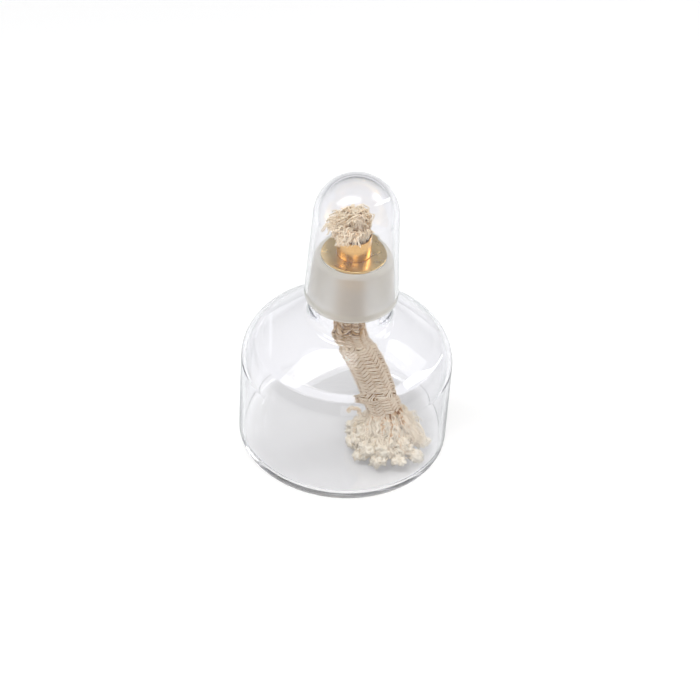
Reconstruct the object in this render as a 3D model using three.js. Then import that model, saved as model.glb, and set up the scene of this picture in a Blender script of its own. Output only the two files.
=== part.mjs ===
// Glass spirit lamp: a blown reservoir with a ground neck, a ground-on glass cap,
// a brass burner that rests on the neck, and a braided cotton wick frayed at both ends.
// Millimetres, +Z up, origin at the centre of the flat underside.

import * as THREE from 'three';

const degrees = Math.PI / 180;
const fullTurn = 2 * Math.PI;
const halfTurn = Math.PI;
const quarterTurn = Math.PI / 2;

// Clearances between pieces
const groundClearance = 0.3;
const seatGap = 0.3;
const pressGap = 0.1;

// Reservoir
const bodyRadius = 37.5;
const bodyWall = 1.6;
const domeWall = 2.8;
const domeTopWall = 3.9;
const floorThickness = 2.4;
const heelRadius = 3.5;
const innerHeelRadius = 3;
const wallTopHeight = 35;
const shoulderRadius = 11.8;
const shoulderTurn = 52 * degrees;
const thinWallTurn = 48.6 * degrees;
const thickWallStartShare = 0.1;
const domeTopRadius = 17;
const domeTopHeight = 54.6;
const domeTopSlope = 22 * degrees;

// Neck, a 1:10 ground cone on its outside
const groundTaper = 0.05;
const neckTop = 83.1;
const neckTopRadius = 13.52;
const neckRootHeight = 58.5;
const boreRadius = 10.8;
const boreRootHeight = 58;
const lipRadius = 1.5;
const boreEdgeRadius = 0.5;

// Cap
const capWall = 1.7;
const capBelowNeckTop = 18.5;
const capSideAboveNeckTop = 15.7;
const capRimRadius = 0.75;
const capDomeRise = 15;
const capCrownWall = 1.9;

// Burner: a disc and the tube that is pressed through it
const discRadius = 11.2;
const discThickness = 0.6;
const discChamfer = 0.12;
const tubeRadius = 6;
const tubeWall = 0.45;
const tubeAboveDisc = 7.4;
const tubeBelowDisc = 11.4;
const tubeChamfer = 0.12;

// Wick
const wickClearance = 0.3;
const wickFeed = 6;
const looseWickRadius = 5.7;
const tailWickRadius = 6.3;
const swellLength = 7;
const tailStartHeight = 56;
const tailEndHeight = 30;
const braidEndHeight = 12.4;
const tuftRise = 10;
const tuftHalfWidth = 8.6;
const tuftHalfDepth = 6.7;
const tuftShift = -1.7;
const tuftLocks = 9;
const tasselHalfWidth = 15.6;
const tasselHalfDepth = 13.6;
const tasselLocks = 14;
const tasselWallClearance = 2;
const tailHeading = -27.7 * degrees;

// Facets
const bodySides = 56;
const capSides = 48;
const burnerSides = 48;
const heelSteps = 5;
const innerHeelSteps = 4;
const shoulderSteps = 9;
const domeSteps = 6;
const neckRootSteps = 4;
const lipSteps = 4;
const boreEdgeSteps = 2;
const crownSteps = 10;
const capRimSteps = 3;
const braidSides = 16;
const braidSteps = 34;
const pointsPerLock = 6;
const unevenWaves = 3;

const glass = new THREE.MeshStandardMaterial({
  color: 0xe6e8ee,
  roughness: 0.03,
  metalness: 0,
  transparent: true,
  opacity: 0.35,
});
const brass = new THREE.MeshStandardMaterial({ color: 0xc89a4e, roughness: 0.32, metalness: 1 });
const cotton = new THREE.MeshStandardMaterial({ color: 0xe9dcc6, roughness: 0.95, metalness: 0 });

function arcPoints(centreR, centreZ, radius, startAngle, endAngle, steps) {
  const clockwise = endAngle < startAngle;
  const arc = new THREE.EllipseCurve(centreR, centreZ, radius, radius, startAngle, endAngle, clockwise, 0);
  return arc.getPoints(steps);
}

function bendPoints(start, corner, end, steps) {
  return new THREE.QuadraticBezierCurve(start, corner, end).getPoints(steps);
}

// Corner where a line falling outwards from one point meets a steeper one from another
function slopeCorner(inner, innerSlope, outer, outerSlope) {
  const fallGap = inner.y - outer.y - (outer.x - inner.x) * Math.tan(outerSlope);
  const reach = fallGap / (Math.tan(innerSlope) - Math.tan(outerSlope));
  return new THREE.Vector2(inner.x + reach, inner.y - reach * Math.tan(innerSlope));
}

// A profile has its radius along X and its height along Y, which is turned to Z once it is spun
function spun(profile, sides) {
  return new THREE.LatheGeometry(profile, sides).rotateX(quarterTurn);
}

function neckRadiusAt(height) {
  return neckTopRadius + (neckTop - height) * groundTaper;
}

const bodyInnerRadius = bodyRadius - bodyWall;

const shoulderCentre = new THREE.Vector2(bodyRadius - shoulderRadius, wallTopHeight);

function shoulderPoints(depth, turn) {
  return arcPoints(shoulderCentre.x, shoulderCentre.y, shoulderRadius - depth, 0, turn, shoulderSteps);
}

const outerShoulder = shoulderPoints(0, shoulderTurn);
const shoulderEnd = outerShoulder[outerShoulder.length - 1];
const domeTop = new THREE.Vector2(domeTopRadius, domeTopHeight);
const domeCurve = new THREE.QuadraticBezierCurve(
  shoulderEnd,
  slopeCorner(domeTop, domeTopSlope, shoulderEnd, quarterTurn - shoulderTurn),
  domeTop,
);

// The blown glass is thin in the wall and thick in the dome, where it grows thicker still towards
// the neck, so its inner face has a step just inside the shoulder.
function innerDomePoints() {
  const points = [];
  for (let step = 0; step <= domeSteps; step += 1) {
    const share = THREE.MathUtils.lerp(thickWallStartShare, 1, step / domeSteps);
    const wall = THREE.MathUtils.lerp(domeWall, domeTopWall, step / domeSteps);
    const outer = domeCurve.getPoint(share);
    const along = domeCurve.getTangent(share);
    points.push(new THREE.Vector2(outer.x - along.y * wall, outer.y + along.x * wall));
  }
  return points;
}

function reservoirGeometry() {
  const innerShoulder = shoulderPoints(bodyWall, thinWallTurn);
  const innerDome = innerDomePoints();
  const innerDomeTop = innerDome[innerDome.length - 1];

  const neckRoot = new THREE.Vector2(neckRadiusAt(neckRootHeight), neckRootHeight);
  const neckCorner = new THREE.Vector2(
    neckRoot.x,
    domeTop.y + (domeTop.x - neckRoot.x) * Math.tan(domeTopSlope),
  );
  const boreRoot = new THREE.Vector2(boreRadius, boreRootHeight);
  const boreCorner = new THREE.Vector2(
    boreRadius,
    innerDomeTop.y + (innerDomeTop.x - boreRadius) * Math.tan(domeTopSlope),
  );

  const lipHeight = neckTop - lipRadius;
  const lipCentre = neckRadiusAt(lipHeight) - lipRadius;
  const edgeHeight = neckTop - boreEdgeRadius;
  const edgeCentre = boreRadius + boreEdgeRadius;
  const innerHeelCentre = bodyInnerRadius - innerHeelRadius;
  const innerHeelHeight = floorThickness + innerHeelRadius;

  const profile = [
    new THREE.Vector2(0, 0),
    ...arcPoints(bodyRadius - heelRadius, heelRadius, heelRadius, -quarterTurn, 0, heelSteps),
    ...outerShoulder,
    ...domeCurve.getPoints(domeSteps).slice(1),
    ...bendPoints(domeTop, neckCorner, neckRoot, neckRootSteps).slice(1),
    ...arcPoints(lipCentre, lipHeight, lipRadius, 0, quarterTurn, lipSteps),
    ...arcPoints(edgeCentre, edgeHeight, boreEdgeRadius, quarterTurn, halfTurn, boreEdgeSteps),
    ...bendPoints(innerDomeTop, boreCorner, boreRoot, neckRootSteps).reverse(),
    ...innerDome.slice(0, -1).reverse(),
    ...innerShoulder.reverse(),
    ...arcPoints(innerHeelCentre, innerHeelHeight, innerHeelRadius, 0, -quarterTurn, innerHeelSteps),
    new THREE.Vector2(0, floorThickness),
  ];
  return spun(profile, bodySides);
}

const capRimHeight = neckTop - capBelowNeckTop;
const capDomeBase = neckTop + capSideAboveNeckTop;

// Quarter of an ellipse from the cap's side up to the axis, where it closes
function crownPoints(radius, rise) {
  const curve = new THREE.EllipseCurve(0, capDomeBase, radius, rise, 0, quarterTurn, false, 0);
  return [...curve.getPoints(crownSteps).slice(0, -1), new THREE.Vector2(0, capDomeBase + rise)];
}

function capGeometry() {
  const innerRadiusAt = (height) => neckRadiusAt(height) + groundClearance;
  const outerRadiusAt = (height) => innerRadiusAt(height) + capWall;
  const rimRoundHeight = capRimHeight + capRimRadius;
  const outerRim = outerRadiusAt(rimRoundHeight) - capRimRadius;
  const innerRim = innerRadiusAt(rimRoundHeight) + capRimRadius;
  const profile = [
    ...crownPoints(innerRadiusAt(capDomeBase), capDomeRise - capCrownWall).reverse(),
    ...arcPoints(innerRim, rimRoundHeight, capRimRadius, -halfTurn, -quarterTurn, capRimSteps),
    ...arcPoints(outerRim, rimRoundHeight, capRimRadius, -quarterTurn, 0, capRimSteps),
    ...crownPoints(outerRadiusAt(capDomeBase), capDomeRise),
  ];
  return spun(profile, capSides);
}

// Ring of rectangular section with its four edges broken
function ringGeometry(innerRadius, outerRadius, bottom, top, chamfer, sides) {
  const profile = [
    new THREE.Vector2(innerRadius + chamfer, bottom),
    new THREE.Vector2(outerRadius - chamfer, bottom),
    new THREE.Vector2(outerRadius, bottom + chamfer),
    new THREE.Vector2(outerRadius, top - chamfer),
    new THREE.Vector2(outerRadius - chamfer, top),
    new THREE.Vector2(innerRadius + chamfer, top),
    new THREE.Vector2(innerRadius, top - chamfer),
    new THREE.Vector2(innerRadius, bottom + chamfer),
    new THREE.Vector2(innerRadius + chamfer, bottom),
  ];
  return spun(profile, sides);
}

// Closed skin over rings of equally many points, from the lowest ring up, with flat ends
function loftGeometry(rings) {
  const count = rings[0].length;
  const positions = [];
  const indices = [];
  for (const ring of rings) {
    for (const point of ring) {
      positions.push(point.x, point.y, point.z);
    }
  }
  for (let row = 0; row < rings.length - 1; row += 1) {
    for (let column = 0; column < count; column += 1) {
      const next = (column + 1) % count;
      const low = row * count;
      const high = low + count;
      indices.push(low + column, low + next, high + next);
      indices.push(low + column, high + next, high + column);
    }
  }
  const ends = [
    { ring: rings[0], start: 0, flip: true },
    { ring: rings[rings.length - 1], start: (rings.length - 1) * count, flip: false },
  ];
  for (const end of ends) {
    const centre = new THREE.Vector3();
    end.ring.forEach((point) => centre.add(point));
    centre.divideScalar(count);
    const hub = positions.length / 3;
    positions.push(centre.x, centre.y, centre.z);
    for (let column = 0; column < count; column += 1) {
      const here = end.start + column;
      const next = end.start + ((column + 1) % count);
      if (end.flip) {
        indices.push(hub, next, here);
      } else {
        indices.push(hub, here, next);
      }
    }
  }
  const geometry = new THREE.BufferGeometry();
  geometry.setAttribute('position', new THREE.Float32BufferAttribute(positions, 3));
  geometry.setIndex(indices);
  geometry.computeVertexNormals();
  return geometry;
}

// Heights that the burner and the wick share
const discBottom = neckTop + seatGap;
const discTop = discBottom + discThickness;
const tubeBottom = discBottom - tubeBelowDisc;
const tubeTop = discTop + tubeAboveDisc;
const tubeBore = tubeRadius - tubeWall;
const tuftBottom = tubeTop + seatGap;
const braidTop = tuftBottom - seatGap;
const tasselBottom = floorThickness + seatGap;
const tasselTop = braidEndHeight - seatGap;

// The tassel lies against the wall, on the side that the tail of the wick is headed for
const tasselReach = bodyInnerRadius - tasselWallClearance - tasselHalfWidth;

// How far the tail leans towards the tassel as it falls, from the foot of the tube to its own end
const tailShares = [
  { fallShare: 0, leanShare: 0 },
  { fallShare: 0.2, leanShare: 0 },
  { fallShare: 0.37, leanShare: 0.018 },
  { fallShare: 0.495, leanShare: 0.166 },
  { fallShare: 0.6, leanShare: 0.425 },
  { fallShare: 0.71, leanShare: 0.623 },
  { fallShare: 0.83, leanShare: 0.797 },
  { fallShare: 0.916, leanShare: 0.936 },
  { fallShare: 1, leanShare: 1 },
];

function tailPoint({ fallShare, leanShare }) {
  const lean = tasselReach * leanShare;
  const height = THREE.MathUtils.lerp(tubeBottom, braidEndHeight, fallShare);
  return new THREE.Vector3(lean * Math.cos(tailHeading), lean * Math.sin(tailHeading), height);
}

// The wick is slim where it passes the tube and loosens below it
function wickRadiusAt(height) {
  const slimRadius = tubeBore - wickClearance;
  const slimEnd = tubeBottom - wickFeed - wickClearance;
  const loosening = THREE.MathUtils.smoothstep(slimEnd - height, 0, swellLength);
  const drop = THREE.MathUtils.smoothstep(tailStartHeight - height, 0, tailStartHeight - tailEndHeight);
  const loose = THREE.MathUtils.lerp(slimRadius, looseWickRadius, loosening);
  return THREE.MathUtils.lerp(loose, tailWickRadius, drop);
}

function braidGeometry() {
  const tail = tailShares.map(tailPoint).reverse();
  const route = new THREE.CatmullRomCurve3([...tail, new THREE.Vector3(0, 0, braidTop)]);
  const level = new THREE.Vector3(1, 0, 0);
  const up = new THREE.Vector3(0, 0, 1);
  const rings = [];
  for (let step = 0; step <= braidSteps; step += 1) {
    const centre = route.getPointAt(step / braidSteps);
    const isEnd = step === 0 || step === braidSteps;
    const along = isEnd ? up : route.getTangentAt(step / braidSteps);
    const side = new THREE.Vector3().crossVectors(along, level).normalize();
    const across = new THREE.Vector3().crossVectors(side, along).normalize();
    const radius = wickRadiusAt(centre.z);
    const ring = [];
    for (let corner = 0; corner < braidSides; corner += 1) {
      const angle = (corner / braidSides) * fullTurn;
      const point = centre.clone();
      point.addScaledVector(across, radius * Math.cos(angle));
      point.addScaledVector(side, radius * Math.sin(angle));
      ring.push(point);
    }
    rings.push(ring);
  }
  return loftGeometry(rings);
}

// Frayed cotton stands in locks: each ring of points swells at its locks and draws in
// between them, and the locks of one level stand over the gaps of the level below.
function frayedGeometry({ centre, halfWidth, halfDepth, bottom, top, locks, levels }) {
  const points = locks * pointsPerLock;
  const rings = levels.map((level) => {
    const turn = level.turnShare * fullTurn;
    const ring = [];
    for (let index = 0; index < points; index += 1) {
      const angle = (index / points) * fullTurn;
      const swell = Math.abs(Math.cos((locks * angle + turn) / 2));
      const uneven = 1 + level.unevenShare * Math.sin(unevenWaves * angle + turn);
      const reach = level.widthShare * uneven * (1 - level.grooveShare * (1 - swell));
      ring.push(new THREE.Vector3(
        centre.x + halfWidth * reach * Math.cos(angle),
        centre.y + halfDepth * reach * Math.sin(angle),
        THREE.MathUtils.lerp(bottom, top, level.heightShare),
      ));
    }
    return ring;
  });
  return loftGeometry(rings);
}

const tasselLevels = [
  { heightShare: 0, widthShare: 0.84, turnShare: 0, grooveShare: 0.2, unevenShare: 0.03 },
  { heightShare: 0.1, widthShare: 0.97, turnShare: 0, grooveShare: 0.24, unevenShare: 0.03 },
  { heightShare: 0.24, widthShare: 1, turnShare: 0, grooveShare: 0.24, unevenShare: 0.03 },
  { heightShare: 0.36, widthShare: 0.95, turnShare: 0, grooveShare: 0.22, unevenShare: 0.03 },
  { heightShare: 0.42, widthShare: 0.82, turnShare: 0.25, grooveShare: 0.16, unevenShare: 0 },
  { heightShare: 0.52, widthShare: 0.84, turnShare: 0.5, grooveShare: 0.24, unevenShare: 0.04 },
  { heightShare: 0.66, widthShare: 0.76, turnShare: 0.5, grooveShare: 0.24, unevenShare: 0.04 },
  { heightShare: 0.8, widthShare: 0.62, turnShare: 0.5, grooveShare: 0.2, unevenShare: 0.02 },
  { heightShare: 0.92, widthShare: 0.5, turnShare: 0.5, grooveShare: 0.12, unevenShare: 0 },
  { heightShare: 1, widthShare: 0.4, turnShare: 0.5, grooveShare: 0.06, unevenShare: 0 },
];

const tuftLevels = [
  { heightShare: 0, widthShare: 0.78, turnShare: 0, grooveShare: 0.2, unevenShare: 0.05 },
  { heightShare: 0.14, widthShare: 0.97, turnShare: 0, grooveShare: 0.26, unevenShare: 0.05 },
  { heightShare: 0.3, widthShare: 0.94, turnShare: 0, grooveShare: 0.24, unevenShare: 0.05 },
  { heightShare: 0.4, widthShare: 0.8, turnShare: 0.25, grooveShare: 0.14, unevenShare: 0 },
  { heightShare: 0.52, widthShare: 0.86, turnShare: 0.5, grooveShare: 0.24, unevenShare: 0.04 },
  { heightShare: 0.7, widthShare: 0.8, turnShare: 0.5, grooveShare: 0.22, unevenShare: 0.04 },
  { heightShare: 0.86, widthShare: 0.62, turnShare: 0.5, grooveShare: 0.2, unevenShare: 0.02 },
  { heightShare: 1, widthShare: 0.34, turnShare: 0.5, grooveShare: 0.1, unevenShare: 0 },
];

function tasselGeometry() {
  return frayedGeometry({
    centre: tailPoint(tailShares[tailShares.length - 1]),
    halfWidth: tasselHalfWidth,
    halfDepth: tasselHalfDepth,
    bottom: tasselBottom,
    top: tasselTop,
    locks: tasselLocks,
    levels: tasselLevels,
  });
}

function tuftGeometry() {
  return frayedGeometry({
    centre: { x: tuftShift, y: 0 },
    halfWidth: tuftHalfWidth,
    halfDepth: tuftHalfDepth,
    bottom: tuftBottom,
    top: tuftBottom + tuftRise,
    locks: tuftLocks,
    levels: tuftLevels,
  });
}

function piece(name, geometry, material) {
  const mesh = new THREE.Mesh(geometry, material);
  mesh.name = name;
  return mesh;
}

const vessel = new THREE.Group();
vessel.add(piece('glass_reservoir', reservoirGeometry(), glass));

const burner = new THREE.Group();
burner.add(piece(
  'burner_disc',
  ringGeometry(tubeRadius + pressGap, discRadius, discBottom, discTop, discChamfer, burnerSides),
  brass,
));
burner.add(piece(
  'wick_tube',
  ringGeometry(tubeBore, tubeRadius, tubeBottom, tubeTop, tubeChamfer, burnerSides),
  brass,
));

const wick = new THREE.Group();
wick.add(piece('wick_tuft', tuftGeometry(), cotton));
wick.add(piece('wick_braid', braidGeometry(), cotton));
wick.add(piece('wick_tassel', tasselGeometry(), cotton));

const cover = new THREE.Group();
cover.add(piece('glass_cap', capGeometry(), glass));

const lamp = new THREE.Group();
lamp.add(vessel, burner, wick, cover);

export default lamp;
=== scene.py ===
import bisect
import math
import random

import bpy
from mathutils import Matrix, Quaternion, Vector, noise
from mathutils.kdtree import KDTree


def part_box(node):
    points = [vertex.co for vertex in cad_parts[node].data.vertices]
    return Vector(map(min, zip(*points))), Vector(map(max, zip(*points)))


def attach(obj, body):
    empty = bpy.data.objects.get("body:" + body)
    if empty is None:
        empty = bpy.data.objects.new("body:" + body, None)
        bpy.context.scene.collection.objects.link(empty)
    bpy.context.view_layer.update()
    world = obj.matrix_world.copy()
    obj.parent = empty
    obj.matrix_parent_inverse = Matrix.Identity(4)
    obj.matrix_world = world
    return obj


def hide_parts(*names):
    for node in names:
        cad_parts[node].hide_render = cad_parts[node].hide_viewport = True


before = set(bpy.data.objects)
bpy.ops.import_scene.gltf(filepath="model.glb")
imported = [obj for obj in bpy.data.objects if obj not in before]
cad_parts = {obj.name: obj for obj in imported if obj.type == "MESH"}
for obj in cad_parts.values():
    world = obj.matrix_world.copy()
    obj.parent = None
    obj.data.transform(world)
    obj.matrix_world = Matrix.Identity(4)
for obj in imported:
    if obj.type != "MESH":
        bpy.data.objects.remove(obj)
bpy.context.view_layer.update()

# Camera. A long lens in front of the lamp and well above it. The lamp leans a few degrees in the
# picture, so the camera is rolled about its own line of sight.
mm = 0.001
camera_place = Vector((0, -0.6546, 0.6066))
camera_dip = math.radians(40.94)
camera_yaw = math.radians(0.08)
camera_roll = math.radians(3.93)

camera_data = bpy.data.cameras.new("camera")
camera_data.lens = 125.9
camera_data.sensor_width = 36
camera_data.clip_start = 0.05
camera_data.clip_end = 50
camera = bpy.data.objects.new("camera", camera_data)
sight = Vector((
    math.sin(camera_yaw) * math.cos(camera_dip),
    math.cos(camera_yaw) * math.cos(camera_dip),
    -math.sin(camera_dip),
))
camera.rotation_mode = "QUATERNION"
camera.location = camera_place
camera.rotation_quaternion = sight.to_track_quat("-Z", "Y") @ Quaternion((0, 0, 1), camera_roll)
bpy.context.scene.collection.objects.link(camera)
bpy.context.scene.camera = camera


# Floor and light. A white painted board under four softboxes that the glass mirrors: an oval one
# overhead inside a wider, dimmer glow, a small oval one high on the right and a long strip beyond
# it. Three fills light the lamp without being mirrored. Above its white horizon the room is dim.
def linear(colour):
    channels = [int(colour[i:i + 2], 16) / 255 for i in (1, 3, 5)]
    return [c / 12.92 if c <= 0.04045 else ((c + 0.055) / 1.055) ** 2.4 for c in channels] + [1]


def add_node(tree, kind, links=None, **settings):
    node = tree.nodes.new(kind)
    for name, value in settings.items():
        if name in node.inputs:
            node.inputs[name].default_value = value
        else:
            setattr(node, name, value)
    for name, source in (links or {}).items():
        tree.links.new(source, node.inputs[name])
    return node


def new_material(name):
    material = bpy.data.materials.new(name)
    material.use_nodes = True
    material.node_tree.nodes.clear()
    return material, material.node_tree


def finish_material(tree, shader):
    output = tree.nodes.new("ShaderNodeOutputMaterial")
    tree.links.new(shader.outputs[0], output.inputs["Surface"])


floor_drop = 0.1 * mm
floor_size = 3
bpy.ops.object.select_all(action="DESELECT")
bpy.ops.mesh.primitive_circle_add(
    vertices=96, radius=floor_size, fill_type="TRIFAN", location=(0, 0, -floor_drop))
floor = bpy.context.object
floor.name = "studio_floor"

# Matt white paint: it shows shadows but no reflections. Where the camera sees it directly, mirrored
# or through glass it is lifted to plain white, and far off once more, up to the white horizon.
paint_lift = 0.2
far_paint_lift = 0.5
far_paint_start = 0.4
far_paint_end = 1.5
floor_material, tree = new_material("white paint on board")
floor_paint = add_node(tree, "ShaderNodeBsdfDiffuse", Color=linear("#eaeaea"))
floor_ray = add_node(tree, "ShaderNodeLightPath")
seen = add_node(tree, "ShaderNodeMath", operation="MAXIMUM", links={
    0: floor_ray.outputs["Is Camera Ray"], 1: floor_ray.outputs["Is Glossy Ray"]})
seen = add_node(tree, "ShaderNodeMath", operation="MAXIMUM", links={
    0: seen.outputs[0], 1: floor_ray.outputs["Is Transmission Ray"]})
white_lift = add_node(tree, "ShaderNodeMath", operation="MULTIPLY", links={0: seen.outputs[0]})
white_lift.inputs[1].default_value = paint_lift
floor_place = add_node(tree, "ShaderNodeTexCoord")
floor_radius = add_node(tree, "ShaderNodeVectorMath", operation="LENGTH", links={
    0: floor_place.outputs["Object"]})
far_lift = add_node(
    tree, "ShaderNodeMapRange", links={"Value": floor_radius.outputs["Value"]},
    **{"From Min": far_paint_start, "From Max": far_paint_end, "To Min": 0.0, "To Max": far_paint_lift})
far_lift = add_node(tree, "ShaderNodeMath", operation="MULTIPLY", links={
    0: far_lift.outputs["Result"], 1: floor_ray.outputs["Is Camera Ray"]})
white_lift = add_node(tree, "ShaderNodeMath", operation="ADD", links={
    0: white_lift.outputs[0], 1: far_lift.outputs[0]})
floor_glow = add_node(tree, "ShaderNodeEmission", links={"Strength": white_lift.outputs[0]})
finish_material(tree, add_node(tree, "ShaderNodeAddShader", links={
    0: floor_paint.outputs[0], 1: floor_glow.outputs[0]}))
floor.data.materials.append(floor_material)

horizon_low = 0.04
horizon_high = 0.16
room_brightness = 0.34
world = bpy.data.worlds.new("studio")
world.use_nodes = True
bpy.context.scene.world = world
tree = world.node_tree
tree.nodes.clear()
direction = add_node(tree, "ShaderNodeTexCoord")
height = add_node(tree, "ShaderNodeSeparateXYZ", links={"Vector": direction.outputs["Generated"]})
horizon_to_room = add_node(
    tree, "ShaderNodeMapRange", links={"Value": height.outputs["Z"]},
    **{"From Min": horizon_low, "From Max": horizon_high, "To Min": 1.0, "To Max": room_brightness})
room_ray = add_node(tree, "ShaderNodeLightPath")
brightness = add_node(tree, "ShaderNodeMath", operation="MAXIMUM", links={
    0: horizon_to_room.outputs["Result"], 1: room_ray.outputs["Is Camera Ray"]})
sky = add_node(tree, "ShaderNodeBackground", links={"Strength": brightness.outputs[0]},
               Color=linear("#fafafb"))
output = tree.nodes.new("ShaderNodeOutputWorld")
tree.links.new(sky.outputs[0], output.inputs["Surface"])


def softbox(name, place, along, width, depth, radiance, shape="RECTANGLE", mirrored=True):
    light = bpy.data.lights.new(name, "AREA")
    light.shape = shape
    light.size = width
    light.size_y = depth
    light.energy = radiance * math.pi * width * depth
    box = bpy.data.objects.new(name, light)
    box.location = place
    box.visible_glossy = mirrored
    facing = Vector(place).normalized()
    across = Vector(along).cross(facing).normalized()
    box.rotation_mode = "QUATERNION"
    turned = Matrix((across.cross(facing), across, facing)).transposed()
    box.rotation_quaternion = turned.to_quaternion()
    bpy.context.scene.collection.objects.link(box)


softbox("overhead_box", place=(-0.29, -0.12, 0.75), along=(1, 0, 0.3),
        width=0.5, depth=0.14, radiance=6.0, shape="ELLIPSE")
softbox("overhead_glow", place=(-0.29, -0.12, 0.77), along=(1, 0, 0.3),
        width=0.95, depth=0.24, radiance=2.4, shape="ELLIPSE")
softbox("overhead_fill", place=(-0.2, -0.1, 0.8), along=(1, 0, 0.3),
        width=0.7, depth=0.5, radiance=1.1, mirrored=False)
softbox("front_fill", place=(0.15, -0.8, 0.42), along=(1, 0, 0),
        width=0.4, depth=0.6, radiance=2.0, mirrored=False)
softbox("right_box", place=(0.62, 0.28, 0.7), along=(1, 0, -0.9),
        width=0.24, depth=0.15, radiance=6.5, shape="ELLIPSE")
softbox("right_fill", place=(0.66, 0.28, 0.66), along=(1, 0, -0.9),
        width=0.5, depth=0.4, radiance=2.3, mirrored=False)
softbox("strip_box", place=(0.80, 0.30, 0.48), along=(0.08, 0.86, -0.67),
        width=1.0, depth=0.04, radiance=9.0)


# Glass reservoir. A vessel blown in one piece of clear glass: thin at the wall, thick in the floor
# and, from a soft step just inside the shoulder, in the dome and the neck. The outside of the neck
# is ground matt to a 1:10 cone for the cap.
def arc(centre_r, centre_z, radius, start, end, steps):
    angles = [math.radians(start + (end - start) * i / steps) for i in range(steps + 1)]
    return [(centre_r + radius * math.cos(a), centre_z + radius * math.sin(a)) for a in angles]


def bend(start, corner, end, steps):
    points = []
    for i in range(steps + 1):
        t = i / steps
        weights = ((1 - t) ** 2, 2 * t * (1 - t), t ** 2)
        points.append(tuple(
            weights[0] * a + weights[1] * b + weights[2] * c for a, b, c in zip(start, corner, end)))
    return points


def spun(name, profile, steps, closed=False):
    mesh = bpy.data.meshes.new(name)
    edges = [(i, i + 1) for i in range(len(profile) - 1)]
    if closed:
        edges.append((len(profile) - 1, 0))
    mesh.from_pydata([(r, 0, z) for r, z in profile], edges, [])
    piece = bpy.data.objects.new(name, mesh)
    bpy.context.scene.collection.objects.link(piece)
    bpy.ops.object.select_all(action="DESELECT")
    piece.select_set(True)
    bpy.context.view_layer.objects.active = piece
    bpy.ops.object.mode_set(mode="EDIT")
    bpy.ops.mesh.select_all(action="SELECT")
    bpy.ops.mesh.spin(steps=steps, angle=2 * math.pi, center=(0, 0, 0), axis=(0, 0, 1))
    bpy.ops.mesh.select_all(action="SELECT")
    bpy.ops.mesh.remove_doubles(threshold=0.001 * mm)
    bpy.ops.mesh.normals_make_consistent(inside=False)
    bpy.ops.object.mode_set(mode="OBJECT")
    bpy.ops.object.shade_smooth()
    return piece


reservoir_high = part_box("glass_reservoir")[1]
body_radius = reservoir_high.x
neck_top = reservoir_high.z
body_wall = 1.6 * mm
dome_wall = 2.9 * mm
dome_top_wall = 3.3 * mm
thin_wall_turn = 48.6
thick_wall_share = 0.1
step_softness = 0.3 * mm
floor_thickness = 2.4 * mm
floor_zone_top = floor_thickness + 0.1 * mm
heel_radius = 3.5 * mm
inner_heel_radius = 3 * mm
wall_top = 35 * mm
shoulder_radius = 11.8 * mm
shoulder_turn = 52
dome_top = (17 * mm, 54.6 * mm)
dome_top_slope = math.radians(22)
ground_taper = 0.05
neck_top_radius = 13.52 * mm
neck_root_height = 58.5 * mm
bore_radius = 10.8 * mm
bore_root_height = 58 * mm
lip_radius = 1.5 * mm
bore_edge_radius = 0.5 * mm
ground_zone = (65.4 * mm, 83.2 * mm)


def neck_radius_at(z):
    return neck_top_radius + (neck_top - z) * ground_taper


def mix(a, b, share):
    return a + (b - a) * share


def towards(start, end, distance):
    share = distance / math.dist(start, end)
    return tuple(mix(a, b, share) for a, b in zip(start, end))


shoulder_centre = body_radius - shoulder_radius
outer_shoulder = arc(shoulder_centre, wall_top, shoulder_radius, 0, shoulder_turn, 28)
shoulder_end = outer_shoulder[-1]
shoulder_slope = math.tan(math.radians(90 - shoulder_turn))
top_slope = math.tan(dome_top_slope)
dome_reach = (dome_top[1] - shoulder_end[1] - (shoulder_end[0] - dome_top[0]) * shoulder_slope)
dome_reach /= top_slope - shoulder_slope
dome_corner = (dome_top[0] + dome_reach, dome_top[1] - dome_reach * top_slope)
outer_dome = bend(shoulder_end, dome_corner, dome_top, 40)


def below_dome(share):
    wall = mix(dome_wall, dome_top_wall, (share - thick_wall_share) / (1 - thick_wall_share))
    r, z = (
        (1 - share) ** 2 * a + 2 * share * (1 - share) * b + share ** 2 * c
        for a, b, c in zip(shoulder_end, dome_corner, dome_top))
    along = Vector([
        (1 - share) * (b - a) + share * (c - b)
        for a, b, c in zip(shoulder_end, dome_corner, dome_top)]).normalized()
    return r - along.y * wall, z + along.x * wall


inner_shoulder = arc(shoulder_centre, wall_top, shoulder_radius - body_wall, 0, thin_wall_turn, 28)
inner_dome = [below_dome(mix(thick_wall_share, 1, i / 36)) for i in range(37)]
step_low = inner_shoulder.pop()
step_high = inner_dome.pop(0)
inner_step = (
    bend(inner_shoulder[-1], step_low, towards(step_low, step_high, step_softness), 6)
    + bend(towards(step_high, step_low, step_softness), step_high,
           towards(step_high, inner_dome[0], step_softness), 6)
)
inner_rise = inner_dome[-1][1] - inner_dome[-2][1]
inner_run = inner_dome[-2][0] - inner_dome[-1][0]
neck_root_radius = neck_radius_at(neck_root_height)
neck_corner = (
    neck_root_radius,
    dome_top[1] + (dome_top[0] - neck_root_radius) * top_slope,
)
bore_corner = (
    bore_radius,
    inner_dome[-1][1] + (inner_dome[-1][0] - bore_radius) * inner_rise / inner_run,
)
lip_height = neck_top - lip_radius
lip_inner_radius = bore_radius + bore_edge_radius
neck_line = [(neck_radius_at(z), z) for z in (ground_zone[0], lip_height)]
inner_heel_centre = body_radius - body_wall - inner_heel_radius

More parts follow.
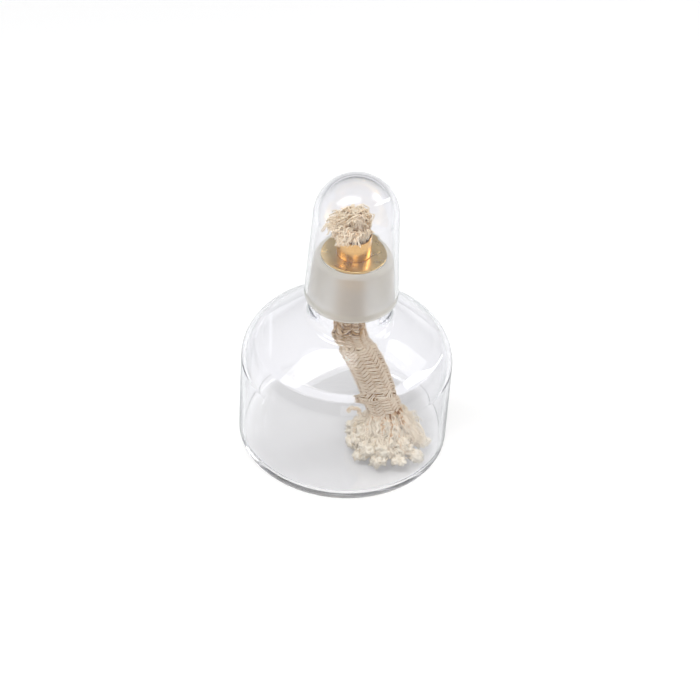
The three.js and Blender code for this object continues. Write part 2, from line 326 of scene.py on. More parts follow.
reservoir_profile = (
    [(0, 0)]
    + arc(body_radius - heel_radius, heel_radius, heel_radius, -90, 0, 16)
    + outer_shoulder
    + outer_dome[1:]
    + bend(dome_top, neck_corner, (neck_root_radius, neck_root_height), 12)[1:]
    + neck_line
    + arc(neck_radius_at(lip_height) - lip_radius, lip_height, lip_radius, 0, 90, 12)
    + arc(lip_inner_radius, neck_top - bore_edge_radius, bore_edge_radius, 90, 180, 8)
    + bend(inner_dome[-1], bore_corner, (bore_radius, bore_root_height), 12)[::-1]
    + inner_dome[-2::-1]
    + inner_step[::-1]
    + inner_shoulder[-2::-1]
    + arc(inner_heel_centre, floor_thickness + inner_heel_radius, inner_heel_radius, 0, -90, 14)
    + [(0, floor_thickness)]
)
reservoir = spun("reservoir_glass", reservoir_profile, 160)


# Blown glass is clear face on and greyish along its wall, where the eye looks through a long way of
# it. Ground glass blurs and whitens what is behind it. Both let light through to the floor, a little
# weakened by the ground zone and the thick bottom.
glass_index = 1.5
edge_tightness = 5


def glass_material(name, colour, edge, shadow, roughness, whiteness):
    material, tree = new_material(name)
    turned_away = add_node(tree, "ShaderNodeLayerWeight", Blend=0.5)
    along_wall = add_node(tree, "ShaderNodeMath", operation="POWER", links={
        0: turned_away.outputs["Facing"]})
    along_wall.inputs[1].default_value = edge_tightness
    tint = add_node(tree, "ShaderNodeMix", data_type="RGBA", links={"Factor": along_wall.outputs[0]})
    tint.inputs["A"].default_value = linear(colour)
    tint.inputs["B"].default_value = linear(edge)
    clear = add_node(tree, "ShaderNodeBsdfGlass", links={"Color": tint.outputs["Result"]},
                     Roughness=roughness, IOR=glass_index)
    dust = add_node(tree, "ShaderNodeBsdfDiffuse", Color=linear(colour))
    through = add_node(tree, "ShaderNodeBsdfTranslucent", Color=linear(colour))
    milk = add_node(tree, "ShaderNodeMixShader", Fac=0.5, links={
        1: dust.outputs[0], 2: through.outputs[0]})
    body = add_node(tree, "ShaderNodeMixShader", Fac=whiteness, links={
        1: clear.outputs[0], 2: milk.outputs[0]})
    ray = add_node(tree, "ShaderNodeLightPath")
    lighting = add_node(tree, "ShaderNodeMath", operation="MAXIMUM", links={
        0: ray.outputs["Is Shadow Ray"], 1: ray.outputs["Is Diffuse Ray"]})
    shade = add_node(tree, "ShaderNodeBsdfTransparent", Color=linear(shadow))
    finish_material(tree, add_node(tree, "ShaderNodeMixShader", links={
        0: lighting.outputs[0], 1: body.outputs[0], 2: shade.outputs[0]}))
    return material


clear_glass = glass_material(
    "clear blown glass", colour="#fcfcfd", edge="#d0d4d3", shadow="#ffffff", roughness=0.0, whiteness=0)
ground_glass = glass_material(
    "glass ground matt", colour="#ebe9e2", edge="#ebe9e2", shadow="#efede8", roughness=0.42, whiteness=0.5)
floor_glass = glass_material(
    "clear glass of the thick floor", colour="#fdfdfd", edge="#fdfdfd", shadow="#ebebeb",
    roughness=0.0, whiteness=0)
for glass in (clear_glass, ground_glass, floor_glass):
    reservoir.data.materials.append(glass)
for face in reservoir.data.polygons:
    radius = math.hypot(face.center.x, face.center.y)
    if face.center.z < floor_zone_top:
        face.material_index = 2
    if ground_zone[0] < face.center.z < ground_zone[1] and radius > lip_inner_radius:
        face.material_index = 1
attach(reservoir, "reservoir")
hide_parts("glass_reservoir")


# Glass cap. A snuffer blown of the same clear glass, with a round crown. Its lower end is ground
# matt inside, to the same cone as the neck that it sits on.
cap_wall = 1.7 * mm
ground_clearance = 0.3 * mm
cap_low, cap_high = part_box("glass_cap")
cap_rim_height = cap_low.z
cap_rim_radius = 0.75 * mm
cap_dome_base = 98.8 * mm
cap_dome_rise = cap_high.z - cap_dome_base
cap_crown_wall = 1.9 * mm
cap_ground_top = 67 * mm


def cap_inner_at(z):
    return neck_radius_at(z) + ground_clearance


def dome(radius, rise, steps):
    angles = [math.radians(90 * i / steps) for i in range(steps + 1)]
    points = [(radius * math.cos(a), cap_dome_base + rise * math.sin(a)) for a in angles]
    points[-1] = (0, points[-1][1])
    return points


rim_round = cap_rim_height + cap_rim_radius
cap_profile = (
    dome(cap_inner_at(cap_dome_base), cap_dome_rise - cap_crown_wall, 32)[::-1]
    + [(cap_inner_at(cap_ground_top), cap_ground_top)]
    + arc(cap_inner_at(rim_round) + cap_rim_radius, rim_round, cap_rim_radius, 180, 270, 8)
    + arc(cap_inner_at(rim_round) + cap_wall - cap_rim_radius, rim_round, cap_rim_radius, -90, 0, 8)
    + dome(cap_inner_at(cap_dome_base) + cap_wall, cap_dome_rise, 36)
)
cap = spun("cap_glass", cap_profile, 128)
for glass in (clear_glass, ground_glass):
    cap.data.materials.append(glass)
for face in cap.data.polygons:
    radius = math.hypot(face.center.x, face.center.y)
    if face.center.z < cap_ground_top and radius < cap_inner_at(cap_rim_height) + cap_rim_radius:
        face.material_index = 1
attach(cap, "cap")
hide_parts("glass_cap")


# Burner disc. A flat disc turned from brass sheet, with fine rings left by the tool and a broken
# edge. It lies on the lip of the neck and carries the tube.
def ring_grain(tree, place):
    parts = add_node(tree, "ShaderNodeSeparateXYZ", links={"Vector": place.outputs["Object"]})
    flat = add_node(tree, "ShaderNodeCombineXYZ", links={
        "X": parts.outputs["X"], "Y": parts.outputs["Y"]})
    radius = add_node(tree, "ShaderNodeVectorMath", operation="LENGTH", links={0: flat.outputs[0]})
    return add_node(tree, "ShaderNodeCombineXYZ", links={
        "X": radius.outputs["Value"], "Y": parts.outputs["Z"]}).outputs[0]


# Lacquered brass. The tool's marks run round the piece, one in 0.8 mm, coarser than the real ones
# so that they show. Cloudy stains about 3 mm wide dull it, and the lacquer keeps highlights smooth.
marks_per_metre = 1300
stains_per_metre = 350
lacquer_roughness = 0.12


def brass_material(name, stretch, roughness, relief_height, dull, bright):
    material, tree = new_material(name)
    place = add_node(tree, "ShaderNodeTexCoord")
    stretched = add_node(tree, "ShaderNodeMapping", links={
        "Vector": ring_grain(tree, place)}, Scale=stretch)
    lines = add_node(tree, "ShaderNodeTexNoise", links={"Vector": stretched.outputs[0]},
                     Scale=1.0, Detail=2.0, Roughness=0.5)
    stains = add_node(tree, "ShaderNodeTexNoise", links={"Vector": place.outputs["Object"]},
                      Scale=stains_per_metre, Detail=2.0)
    marks = add_node(tree, "ShaderNodeMath", operation="ADD", links={
        0: stains.outputs["Fac"], 1: lines.outputs["Fac"]})
    marked = add_node(tree, "ShaderNodeMapRange", links={"Value": marks.outputs[0]},
                      **{"From Min": 0.5, "From Max": 1.5})
    colour = add_node(tree, "ShaderNodeMix", data_type="RGBA", links={"Factor": marked.outputs["Result"]})
    colour.inputs["A"].default_value = linear(dull)
    colour.inputs["B"].default_value = linear(bright)
    dullness = add_node(
        tree, "ShaderNodeMapRange", links={"Value": stains.outputs["Fac"]},
        **{"From Min": 0.3, "From Max": 0.7, "To Min": roughness - 0.05, "To Max": roughness + 0.05})
    relief = add_node(tree, "ShaderNodeBump", links={"Height": lines.outputs["Fac"]},
                      Strength=1.0, Distance=relief_height)
    finish_material(tree, add_node(
        tree, "ShaderNodeBsdfPrincipled", links={
            "Base Color": colour.outputs["Result"], "Roughness": dullness.outputs["Result"],
            "Normal": relief.outputs["Normal"]},
        Metallic=1.0, **{"Coat Weight": 1.0, "Coat Roughness": lacquer_roughness}))
    return material


def ring_profile(inner, outer, bottom, top, edge):
    return (
        arc(outer - edge, bottom + edge, edge, -90, 0, 4)
        + arc(outer - edge, top - edge, edge, 0, 90, 4)
        + arc(inner + edge, top - edge, edge, 90, 180, 4)
        + arc(inner + edge, bottom + edge, edge, 180, 270, 4)
    )


disc_low, disc_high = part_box("burner_disc")
tube_low, tube_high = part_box("wick_tube")
tube_radius = tube_high.x
press_gap = 0.1 * mm
disc_edge = 0.2 * mm
disc = spun("burner_disc_turned", ring_profile(
    tube_radius + press_gap, disc_high.x, disc_low.z, disc_high.z, disc_edge), 128, closed=True)
disc.data.materials.append(brass_material(
    "turned brass", stretch=(marks_per_metre, 1, 1), roughness=0.3, relief_height=0.002 * mm,
    dull="#dab56e", bright="#eecf8a"))
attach(disc, "burner")
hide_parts("burner_disc")


# Wick tube. A short length of brass tube, pressed through the disc and polished in the lathe, which
# leaves fine marks round it.
tube_wall = 0.45 * mm
tube_edge = 0.15 * mm
tube = spun("wick_tube_drawn", ring_profile(
    tube_radius - tube_wall, tube_radius, tube_low.z, tube_high.z, tube_edge), 96, closed=True)
tube.data.materials.append(brass_material(
    "polished brass", stretch=(1, marks_per_metre, 1), roughness=0.24, relief_height=0.001 * mm,
    dull="#dca653", bright="#eebe6e"))
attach(tube, "burner")
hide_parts("wick_tube")


# Wick, braided length. A round braid of unbleached cotton, twelve carriers each way and two threads
# to a carrier, over two and under two, round a dark core that is painted shade seen between the
# threads. It fills the tube, hangs loose from its lower end and bends down to the floor, and stray
# fibres stand off it.
wick_heading = math.radians(-27.7)
tassel_half_width = 15.6 * mm
tassel_half_depth = 13.6 * mm
tassel_wall_clearance = 2 * mm
tassel_reach = body_radius - body_wall - tassel_wall_clearance - tassel_half_width
braid_end_height = 12.4 * mm
slim_radius = 5.25 * mm
loose_radius = 5.7 * mm
tail_radius = 6.3 * mm
slim_end_height = 65.7 * mm
loose_height = 58.7 * mm
tail_start_height = 56 * mm
tail_end_height = 30 * mm
tail_shares = [
    (0, 0), (0.2, 0), (0.37, 0.018), (0.495, 0.166), (0.6, 0.425),
    (0.71, 0.623), (0.83, 0.797), (0.916, 0.936), (1, 1),
]
wick_lean = Vector((math.cos(wick_heading), math.sin(wick_heading), 0))
wick_side = Vector((-math.sin(wick_heading), math.cos(wick_heading), 0))


def smoothstep(low, high, value):
    share = min(max((value - low) / (high - low), 0), 1)
    return share * share * (3 - 2 * share)


def smooth_route(points, steps):
    ends = [points[0]] + points + [points[-1]]
    route = []
    for a, b, c, d in zip(ends, ends[1:], ends[2:], ends[3:]):
        for i in range(steps):
            t = i / steps
            route.append(0.5 * (
                2 * b + (c - a) * t + (2 * a - 5 * b + 4 * c - d) * t ** 2
                + (3 * b - a - 3 * c + d) * t ** 3))
    return route + [points[-1]]


wick_points = [Vector((0, 0, tube_high.z))]
for fall, lean in tail_shares:
    wick_points.append(wick_lean * tassel_reach * lean
                       + Vector((0, 0, mix(tube_low.z, braid_end_height, fall))))
wick_route = smooth_route(wick_points, 60)
wick_lengths = [0]
for here, there in zip(wick_route, wick_route[1:]):
    wick_lengths.append(wick_lengths[-1] + (there - here).length)
wick_length = wick_lengths[-1]


def wick_radius_at(height):
    loose = mix(loose_radius, slim_radius, smoothstep(loose_height, slim_end_height, height))
    return mix(tail_radius, loose, smoothstep(tail_end_height, tail_start_height, height))


def on_wick(distance, angle, depth):
    index = min(max(bisect.bisect_left(wick_lengths, distance), 1), len(wick_route) - 1)
    low, high = wick_route[index - 1], wick_route[index]
    span = wick_lengths[index] - wick_lengths[index - 1]
    centre = low.lerp(high, (distance - wick_lengths[index - 1]) / span)
    along = (high - low).normalized()
    across = wick_side.cross(along)
    radius = wick_radius_at(centre.z) - depth
    return centre + radius * (math.cos(angle) * across + math.sin(angle) * wick_side)


def strands(name, paths, bevel_resolution=0):
    curve = bpy.data.curves.new(name, "CURVE")
    curve.dimensions = "3D"
    curve.bevel_depth = 1
    curve.bevel_resolution = bevel_resolution
    curve.use_fill_caps = True
    tones = []
    for points, radii, shades in paths:
        spline = curve.splines.new("POLY")
        spline.points.add(len(points) - 1)
        for knot, point, radius in zip(spline.points, points, radii):
            knot.co = (*point, 1)
            knot.radius = radius
        tones += shades
    piece = bpy.data.objects.new(name, curve)
    bpy.context.scene.collection.objects.link(piece)
    bpy.ops.object.select_all(action="DESELECT")
    piece.select_set(True)
    bpy.context.view_layer.objects.active = piece
    bpy.ops.object.convert(target="MESH")
    bpy.ops.object.shade_smooth()
    piece = bpy.context.object
    # The mesh holds the rings of the end caps first, last path to first, and then each path's rings.
    ends = [shades[end] for _, _, shades in reversed(paths) for end in (-1, 0)]
    ring = len(piece.data.vertices) // (len(ends) + len(tones))
    tone = piece.data.attributes.new("tone", "FLOAT", "POINT")
    tone.data.foreach_set("value", [shade for shade in ends + tones for _ in range(ring)])
    return piece


carriers = 12
threads_per_carrier = 2
braid_pitch = 15.6 * mm
thread_radius = 0.25 * mm
thread_spacing = 0.48 * mm
weave_lift = 0.3 * mm
weave_firmness = 1.8
braid_steps_per_turn = 72
braid_fray = 6.2 * mm
braid_end = wick_length - braid_fray
braid_start = 1.5 * mm
braid_paths = []

# Each thread winds round the wick beside its twin, lifted where its carrier passes over two others
# and sunk where it passes under two.
slant = math.atan2(2 * math.pi * loose_radius, braid_pitch)
for turn in (1, -1):
    for carrier in range(carriers):
        for thread in range(threads_per_carrier):
            beside = (thread - (threads_per_carrier - 1) / 2) * thread_spacing
            points = []
            steps = round((braid_end - braid_start) / braid_pitch * braid_steps_per_turn)
            for step in range(steps + 1):
                distance = mix(braid_start, braid_end, step / steps)
                turned = 2 * math.pi * distance / braid_pitch
                crossing = 2 * carriers * distance / braid_pitch
                phase = crossing + 2 * carrier if turn > 0 else 2 * carrier - crossing
                height = turn * math.cos(2 * math.pi * (phase - 0.5) / 4)
                height = math.tanh(weave_firmness * height) / math.tanh(weave_firmness)
                angle = 2 * math.pi * carrier / carriers + turn * turned
                shifted = distance - turn * beside * math.sin(slant)
                angle += beside * math.cos(slant) / loose_radius
                shifted = min(max(shifted, 0), braid_end)
                points.append(on_wick(shifted, angle, thread_radius + weave_lift * (1 - height)))
            braid_paths.append((points, [thread_radius] * len(points), [1] * len(points)))
braid = strands("wick_braid_threads", braid_paths)

# Threads are given painted shade where they dip under others, and more painted shade inside the neck,
# where less light comes.
braid_thickness = 2 * (thread_radius + weave_lift)
wick_axis = KDTree(len(wick_route))
for index, point in enumerate(wick_route):
    wick_axis.insert(point, index)
wick_axis.balance()
neck_shade = 0.5
neck_shade_low = 43 * mm
neck_shade_high = 55 * mm
shades = []
for vertex in braid.data.vertices:
    centre, index, away = wick_axis.find(vertex.co)
    in_neck_shade = smoothstep(neck_shade_low, neck_shade_high, centre.z)
    shades.append(1 - (wick_radius_at(centre.z) - away) / braid_thickness - neck_shade * in_neck_shade)
braid.data.attributes["tone"].data.foreach_set("value", shades)

# Stray fibres stand off the open length only, so that none meets the tube when the wick is fed up.
rng = random.Random(7)
stray_fibres = 800
fibre_steps = 5
fibre_radius = 0.05 * mm
wick_feed = 6 * mm
fuzz_top = tube_low.z - wick_feed - 2 * mm
fuzz_start = next(length for length, point in zip(wick_lengths, wick_route) if point.z < fuzz_top)
fuzz_paths = []
for index in range(stray_fibres):
    distance = mix(fuzz_start, braid_end, index / stray_fibres)
    angle = rng.uniform(0, 2 * math.pi)
    slide = rng.uniform(-1.6, 1.6) * mm
    swing = rng.uniform(-0.4, 0.4)
    rise = rng.uniform(0.1, 0.5) * mm
    fuzz_paths.append(([
        on_wick(min(distance + slide * i / fibre_steps, braid_end), angle + swing * i / fibre_steps,
                0.1 * mm - rise * math.sin(math.pi * i / fibre_steps))
        for i in range(fibre_steps + 1)], [fibre_radius] * (fibre_steps + 1), [1.0] * (fibre_steps + 1)))
fuzz = strands("wick_braid_fuzz", fuzz_paths)


# Unbleached cotton: matt, a little downy at its outline, and letting some light through. Its shade is
# painted: the tone attribute runs its colour from a painted dark between the strands to pale on top,
# and each strand has a tone of its own. Its spun fibres are drawn as a grain of 0.3 to 0.4 mm,
# coarser than the real ones, so that it shows.
def cotton_material(name, dark, middle, light, fibres_per_metre, glow, variety):
    material, tree = new_material(name)
    place = add_node(tree, "ShaderNodeTexCoord")
    strand = add_node(tree, "ShaderNodeNewGeometry")
    depth = add_node(tree, "ShaderNodeAttribute", attribute_name="tone")
    fibres = add_node(tree, "ShaderNodeTexNoise", links={"Vector": place.outputs["Object"]},
                      Scale=fibres_per_metre, Detail=4.0, Roughness=0.65)
    uneven = add_node(tree, "ShaderNodeMapRange", links={"Value": fibres.outputs["Fac"]},
                      **{"From Min": 0.3, "From Max": 0.7, "To Min": -0.2, "To Max": 0.2})
    dyed = add_node(tree, "ShaderNodeMapRange", links={"Value": strand.outputs["Random Per Island"]},
                    **{"To Min": -variety, "To Max": variety})
    share = add_node(tree, "ShaderNodeMath", operation="ADD",
                     links={0: depth.outputs["Fac"], 1: uneven.outputs["Result"]})
    share = add_node(tree, "ShaderNodeMath", operation="ADD",
                     links={0: share.outputs[0], 1: dyed.outputs["Result"]})
    # The ramp's dark and middle colours are painted shade; its light colour is the cotton itself.
    ramp = add_node(tree, "ShaderNodeValToRGB", links={"Fac": share.outputs[0]})
    ramp.color_ramp.elements[0].color = linear(dark)
    ramp.color_ramp.elements[1].color = linear(light)
    ramp.color_ramp.elements[1].position = 0.8
    ramp.color_ramp.elements.new(0.36).color = linear(middle)
    relief = add_node(tree, "ShaderNodeBump", links={"Height": fibres.outputs["Fac"]},
                      Strength=0.5, Distance=0.1 * mm)
    fibre = add_node(
        tree, "ShaderNodeBsdfPrincipled", links={
            "Base Color": ramp.outputs["Color"], "Normal": relief.outputs["Normal"]},
        Roughness=0.9, **{"Sheen Weight": 0.25, "Sheen Roughness": 0.5, "Specular IOR Level": 0.2})
    through = add_node(tree, "ShaderNodeBsdfTranslucent", links={"Color": ramp.outputs["Color"]})
    finish_material(tree, add_node(tree, "ShaderNodeMixShader", Fac=glow, links={
        1: fibre.outputs[0], 2: through.outputs[0]}))
    return material


braid_cotton = cotton_material(
    "braided unbleached cotton", dark="#6a421e", middle="#c69c68", light="#faecd8",
    fibres_per_metre=3000.0, glow=0.1, variety=0.16)
braid.data.materials.append(braid_cotton)
fuzz.data.materials.append(braid_cotton)
# The core is a brown tube inside the threads: painted shade that shows in the gaps between them, darkest
# at its top, in the tube.
core_steps = 80
core_shares = [i / core_steps for i in range(core_steps + 1)]
core_depth = 0.8 * mm
core_points = []
core_radii = []
for share in core_shares:
    distance = share * braid_end
    core_points.append((on_wick(distance, 0, 0) + on_wick(distance, math.pi, 0)) / 2)
    core_radii.append(wick_radius_at(core_points[-1].z) - core_depth)
core = strands("wick_braid_shade_core", [(core_points, core_radii, core_shares)], bevel_resolution=10)
core.data.materials.append(cotton_material(
    "cotton core painted as shade", dark="#8a6034", middle="#a07648", light="#b08654",
    fibres_per_metre=2500.0, glow=0, variety=0.1))
for piece in (braid, fuzz, core):
    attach(piece, "wick")
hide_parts("wick_braid")


# Wick, upper end. The cotton frays where it leaves the tube, into crimped yarns. Some stand up at the
# back, highest at the right, and lean to the left; others fold over in front of them, and a few
# hang over the rim.
def at_share(values, share):
    place = share * (len(values) - 1)
    index = min(int(place), len(values) - 2)
    return mix(values[index], values[index + 1], place - index)


# Without a seed of its own the noise would tangle the yarns in another way each time.
noise.seed_set(7)
tangle_size = 1.5 * mm
tangle_height = 0.7 * mm
route_steps = 16
shortest_strand = 0.82
tip_taper = 0.45


def yarn(route, widths, tones, count, strand_radius, crimp, crimp_length, stray, step):
    curve = smooth_route(route, route_steps)
    side = (curve[1] - curve[0]).orthogonal().normalized()
    travelled = 0
    frames = []
    for here, there in zip(curve, curve[1:]):
        along = (there - here).normalized()
        side = (side - along * side.dot(along)).normalized()
        if travelled >= len(frames) * step:
            frames.append((here, side, along.cross(side), travelled))
        travelled += (there - here).length
    last = len(frames) - 1
    phase = rng.uniform(0, 2 * math.pi)
    crimp_turn = rng.uniform(0, math.pi)
    paths = []
    for _ in range(count):
        angle = rng.uniform(0, 2 * math.pi)
        offset = math.sqrt(rng.random())
        twist = rng.uniform(0.5, 2.5)
        late = rng.gauss(0, 0.7)
        drift = Vector([rng.gauss(0, 1) for _ in range(3)]) * stray
        stop = max(3, round(last * rng.uniform(shortest_strand, 1)))
        points = []
        radii = []
        shades = []
        for i in range(stop + 1):
            centre, side, across, distance = frames[i]
            share = i / last
            turned = angle + twist * share
            spread = offset * at_share(widths, share)
            wave = crimp * math.sin(2 * math.pi * distance / crimp_length + phase + late)
            wave *= min(1, 4 * share)
            point = (
                centre + drift * share ** 2
                + side * (spread * math.cos(turned) + wave * math.cos(crimp_turn))
                + across * (spread * math.sin(turned) + wave * math.sin(crimp_turn)))
            tangle = noise.noise_vector(point / tangle_size) * tangle_height
            points.append(point + tangle * min(1, 3 * share))
            radii.append(strand_radius * (1 if i < stop else tip_taper))
            # Each strand is given painted shade, more towards the yarn's root where the tones given start
            # low, and more in the middle of the yarn among the other strands.
            shades.append(at_share(tones, share) + 0.5 * (offset - 0.8))
        paths.append((points, radii, shades))
    return paths


# A place with many strands near it lies deep in the cotton, where little light comes, and is given
# painted shade.
sparse_rank = 0.3
dense_rank = 0.95


def painted_shade_in_folds(paths, reach, shading):
    knots = [point for points, _, _ in paths for point in points]
    tree = KDTree(len(knots))
    for index, knot in enumerate(knots):
        tree.insert(knot, index)
    tree.balance()
    crowds = [[len(tree.find_range(point, reach)) for point in points] for points, _, _ in paths]
    ranked = sorted(count for crowd in crowds for count in crowd)
    sparse = ranked[round(sparse_rank * len(ranked))]
    dense = ranked[round(dense_rank * len(ranked))]
    folded = []
    for (points, radii, shades), crowd in zip(paths, crowds):
        deep = [
            shade - shading * smoothstep(sparse, dense, count) for shade, count in zip(shades, crowd)]
        folded.append((points, radii, deep))
    return folded


rng = random.Random(7)
up = Vector((0, 0, 1))
tuft_rim = Vector((0, 0, tube_high.z))
tuft_root_radius = 5.1 * mm
yarn_foot_depth = 2.5 * mm
golden_angle = 2.4
standing_yarns = 62
folded_yarns = 32
hanging_yarns = 6
bare_front = -1.2 * mm
tuft_paths = []

# Standing yarns are rooted all over the mouth of the tube but for its front.
for index in range(standing_yarns):
    root = tuft_root_radius * math.sqrt((index + 0.5) / standing_yarns)
    x = root * math.cos(index * golden_angle)
    y = root * math.sin(index * golden_angle)
    if y < bare_front:
        continue
    right = (x / tuft_root_radius + 1) / 2
    crown = at_share((3.0, 6.8, 10.4), right) * mm + rng.gauss(0, 0.3) * mm
    heading = math.pi + rng.gauss(0, 0.35)
    out = Vector((math.cos(heading), math.sin(heading), 0))
    reach = at_share((4.0, 3.7, 1.8), right) * mm + rng.gauss(0, 0.7) * mm
    foot = tuft_rim + Vector((x, y, 0))
    bulge = Vector((mix(-1.6, -0.4, right) * mm, -1.3 * mm, 0))
    tuft_paths += yarn([
        foot - up * yarn_foot_depth,
        foot + bulge + up * crown * 0.5,
        foot + bulge + out * reach * 0.1 + up * crown * 0.92,
        foot + bulge + out * reach * 0.55 + up * crown,
        foot + bulge + out * reach + up * (crown - rng.uniform(0.8, 2.6) * mm),
    ], (0.7 * mm, 0.8 * mm, 0.9 * mm, 0.9 * mm, 0.7 * mm), (0.1, 0.55, 0.9, 1.05, 1.1),
        count=9, strand_radius=0.23 * mm, crimp=0.5 * mm, crimp_length=2.3 * mm,
        stray=0.7 * mm, step=0.5 * mm)

# Folded yarns are rooted along the front. Those at the left reach out and fall, those at the right
# stand close.
for index in range(folded_yarns):
    across = (index + 0.5) / folded_yarns
    angle = math.radians(mix(172, 352, across) + rng.gauss(0, 3))
    side = Vector((math.cos(angle), math.sin(angle), 0))
    heading = math.radians(mix(176, 318, across) + rng.gauss(0, 9))
    out = Vector((math.cos(heading), math.sin(heading), 0))
    inside = smoothstep(0.5, 0.75, across)
    over = mix(4.0, 2.8, across) * mm + rng.uniform(-1.1, 0.9) * mm
    reach = mix(6.0, 1.2, inside) * mm + rng.gauss(0, 0.4) * mm
    fall = mix(2.8, 0.2, inside) * mm * rng.uniform(0.3, 1.1)
    seat = tuft_rim + side * mix(rng.uniform(1.4, 3.4), rng.uniform(3.4, 4.5), inside) * mm
    tuft_paths += yarn([
        seat - up * yarn_foot_depth,
        seat + up * over * 0.7,
        seat + out * reach * 0.35 + up * over,
        seat + out * reach * 0.75 + up * (over - fall * 0.3),
        seat + out * reach + up * (over - fall),
    ], (0.6 * mm, 0.75 * mm, 0.85 * mm, 0.85 * mm, 0.7 * mm), (0.1, 0.5, 0.9, 1.05, 1.1),
        count=8, strand_radius=0.23 * mm, crimp=0.45 * mm, crimp_length=2.1 * mm,
        stray=0.7 * mm, step=0.5 * mm)

# Hanging yarns lie over the front left of the rim.
for hanging in range(hanging_yarns):
    angle = math.radians(mix(200, 246, (hanging + 0.5) / hanging_yarns) + rng.gauss(0, 2))
    out = Vector((math.cos(angle), math.sin(angle), 0))
    over = rng.uniform(0.7, 1.5) * mm
    tuft_paths += yarn([
        tuft_rim + out * 3.8 * mm - up * 2 * mm,
        tuft_rim + out * 4.9 * mm + up * over,
        tuft_rim + out * 6.5 * mm + up * (over + 0.4 * mm),
        tuft_rim + out * rng.uniform(7.4, 8.2) * mm + up * rng.uniform(-0.6, 0.6) * mm,
    ], (0.6 * mm, 0.75 * mm, 0.8 * mm, 0.6 * mm), (0.1, 0.5, 0.9, 1.0),
        count=13, strand_radius=0.15 * mm, crimp=0.3 * mm, crimp_length=1.6 * mm,
        stray=0.5 * mm, step=0.45 * mm)
# The tuft is given painted shade where its strands crowd, and its dark colour is that painted shade.
tuft = strands("wick_tuft_yarn", painted_shade_in_folds(tuft_paths, reach=1.1 * mm, shading=0.8))
tuft.data.materials.append(cotton_material(
    "frayed cotton at the flame end", dark="#8c4c16", middle="#eec68e", light="#fff3dc",
    fibres_per_metre=2600.0, glow=0.2, variety=0.24))
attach(tuft, "wick")
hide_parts("wick_tuft")


# Wick, lower end. The braid ends in a wide tassel of unlaid yarns that lie on the floor of the
# reservoir. They start slim inside the braid and end in lobes of pale fluff, and those at the right
# are combed out fine and wide.
tassel_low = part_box("wick_tassel")[0]
tassel_root = wick_points[-1]
rng = random.Random(3)
tassel_yarns = 34
yarn_rest = (2.4 * mm, 5.2 * mm, 7.6 * mm)
yarn_reach = (0.84, 0.69, 0.53)
puff_radii = (1.9 * mm, 1.7 * mm, 1.4 * mm)
lobes = 10
combed_from = math.radians(-35)
combed_to = math.radians(75)
tassel_paths = []
puff_seats = []

# The yarns lie in three layers, all round the foot of the braid, and their tips carry the lobes.
ground = Vector((tassel_root.x, tassel_root.y, 0))
for index in range(tassel_yarns):
    angle = 2 * math.pi * (index + rng.uniform(-0.3, 0.3)) / tassel_yarns
    combed = combed_from < (angle + math.pi) % (2 * math.pi) - math.pi < combed_to
    layer = index % 3
    out = Vector((math.cos(angle), math.sin(angle), 0))
    reach = 1 / math.hypot(math.cos(angle) / tassel_half_width, math.sin(angle) / tassel_half_depth)
    reach *= yarn_reach[layer] * rng.uniform(0.92, 1.04)
    rest = tassel_low.z + yarn_rest[layer] + rng.uniform(0, 0.8) * mm
    tip = ground + out * reach + up * rest
    width = 2.5 * mm if combed else 1.3 * mm
    aside = Vector((-out.y, out.x, 0)) * rng.gauss(0, 2.0) * mm
    tassel_paths += yarn([
        ground - wick_lean * 2.2 * mm + out * 4.2 * mm + up * (tassel_root.z + 9 * mm),
        ground - wick_lean * 0.6 * mm + out * 6.8 * mm + aside * 0.4 + up * (13.6 + 0.8 * layer) * mm,
        ground + out * mix(6.6 * mm, reach, 0.55) + aside + up * mix(rest, 13.2 * mm, 0.68),
        tip,
    ], (0.6 * mm, 0.9 * mm, 1.0 * mm, width, width), (0.45, 0.75, 0.95, 1.05, 1.1),
        count=30 if combed else 19, strand_radius=0.12 * mm if combed else 0.19 * mm,
        crimp=0.05 * mm if combed else 0.45 * mm, crimp_length=3.2 * mm, stray=0.6 * mm, step=0.75 * mm)
    if combed and index % 4:
        continue
    for _ in range(lobes):
        ball = puff_radii[layer] * rng.uniform(0.7, 1.15)
        place = rng.uniform(-3.0, 1.3) * mm
        seat = tip + out * place + up * (rng.uniform(-0.4, 1.2) * mm - 0.4 * place)
        seat += Vector((-out.y, out.x, 0)) * rng.gauss(0, 0.8) * mm
        seat.z = max(seat.z, tassel_low.z + 0.9 * ball)
        puff_seats.append((seat, ball))

# One loose yarn lies to the left of the foot of the braid.
stray_yarn = [
    (9.2 * mm, -5.5 * mm, 9.0 * mm), (7.0 * mm, -4.2 * mm, 9.5 * mm), (5.7 * mm, -1.7 * mm, 11.0 * mm),
    (3.4 * mm, -0.8 * mm, 12.0 * mm), (1.7 * mm, -2.1 * mm, 11.5 * mm), (2.2 * mm, -3.6 * mm, 10.5 * mm),
]
tassel_paths += yarn(
    [Vector(knot) for knot in stray_yarn], (0.7 * mm, 0.8 * mm, 0.7 * mm), (0.9, 0.8, 1.0),
    count=14, strand_radius=0.13 * mm, crimp=0.2 * mm, crimp_length=2.4 * mm,
    stray=0.4 * mm, step=0.5 * mm)

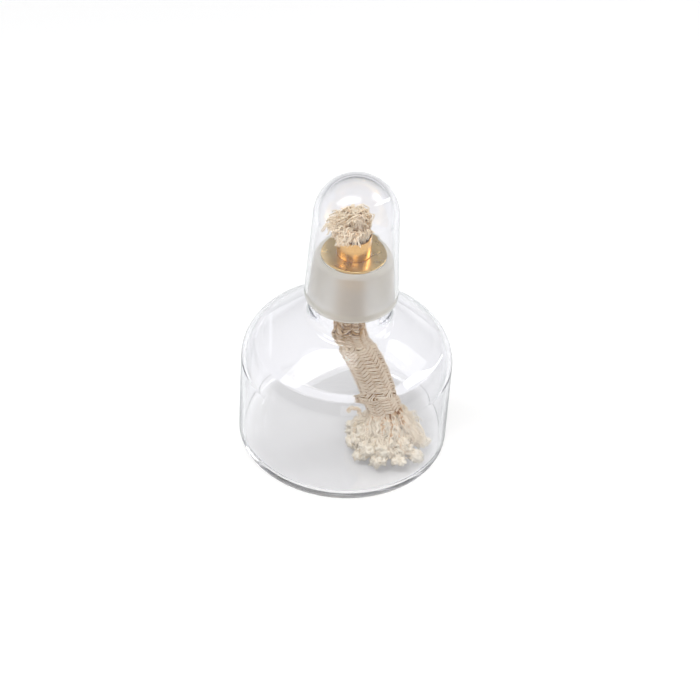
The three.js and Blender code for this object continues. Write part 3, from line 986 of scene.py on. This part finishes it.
# Fluff: short curls that stand off each lobe, and under them a lumpy ball that fills the lobe.
curls = 14
curl_bow = (0.25 * mm, 0.55 * mm)
curl_steps = 5
curl_turn = 1.3 * math.pi
curl_radius = 0.11 * mm
curl_tip_radius = 0.05 * mm
curl_paths = []
for seat, ball in puff_seats:
    for _ in range(round(curls * (ball / puff_radii[0]) ** 2)):
        normal = Vector([rng.gauss(0, 1) for _ in range(3)]).normalized()
        start = seat + normal * ball * rng.uniform(0.8, 1.0)
        tangent = normal.orthogonal().normalized()
        tangent.rotate(Quaternion(normal, rng.uniform(0, 2 * math.pi)))
        bow = rng.uniform(*curl_bow)
        angles = [curl_turn * i / curl_steps for i in range(curl_steps + 1)]
        points = [start + (tangent * math.cos(a) + normal * math.sin(a)) * bow for a in angles]
        for point in points:
            point.z = max(point.z, tassel_low.z + 0.1 * mm)
        curl_paths.append((points, [curl_radius] * curl_steps + [curl_tip_radius],
                           [rng.uniform(0.7, 1.1)] * (curl_steps + 1)))
fold_reach = 0.9 * mm
# The tassel's yarns are given painted shade where they crowd together.
tassel = strands("wick_tassel_yarn", painted_shade_in_folds(tassel_paths, fold_reach, shading=0.75))
fluff = strands("wick_tassel_fluff", curl_paths)
lump_size = 0.8 * mm
lump_height = 0.8
puff_paths = []
puff_faces = []
bpy.ops.object.select_all(action="DESELECT")
bpy.ops.mesh.primitive_ico_sphere_add(subdivisions=3, radius=1)
ball_mesh = bpy.context.object.data
ball_points = [vertex.co.copy() for vertex in ball_mesh.vertices]
ball_faces = [tuple(face.vertices) for face in ball_mesh.polygons]
bpy.data.objects.remove(bpy.context.object)
for seat, ball in puff_seats:
    first = len(puff_paths) * len(ball_points)
    lumps = [noise.fractal((seat + point * ball) / lump_size, 0.9, 2.0, 3) for point in ball_points]
    places = [
        seat + point * ball * (1 + lump_height * lump) for point, lump in zip(ball_points, lumps)]
    for place in places:
        place.z = max(place.z, tassel_low.z)
    # Each ball is given painted shade in its hollows, is lighter on its bumps, and is given more painted
    # shade where balls crowd together.
    puff_paths.append((places, [], [1.1 + 0.5 * lump for lump in lumps]))
    puff_faces += [tuple(first + corner for corner in face) for face in ball_faces]
puff_paths = painted_shade_in_folds(puff_paths, fold_reach, shading=0.7)
puff_mesh = bpy.data.meshes.new("wick_tassel_puffs")
puff_mesh.from_pydata([place for places, _, _ in puff_paths for place in places], [], puff_faces)
puffs = bpy.data.objects.new("wick_tassel_puffs", puff_mesh)
bpy.context.scene.collection.objects.link(puffs)
puff_mesh.shade_smooth()
tone = puff_mesh.attributes.new("tone", "FLOAT", "POINT")
tone.data.foreach_set("value", [shade for _, _, shades in puff_paths for shade in shades])
tassel_cotton = cotton_material(
    "combed out cotton", dark="#a5672c", middle="#f3d1a2", light="#fff7e6",
    fibres_per_metre=2400.0, glow=0.2, variety=0.16)
for piece in (tassel, fluff, puffs):
    piece.data.materials.append(tassel_cotton)
    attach(piece, "wick")
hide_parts("wick_tassel")


# Rendering. Light may cross many walls of glass before it is given up.
glass_bounces = 64
cloth_bounces = 16
bpy.context.scene.cycles.max_bounces = glass_bounces
bpy.context.scene.cycles.diffuse_bounces = cloth_bounces
bpy.context.scene.cycles.glossy_bounces = glass_bounces
bpy.context.scene.cycles.transmission_bounces = glass_bounces
bpy.context.scene.view_settings.view_transform = "Standard"
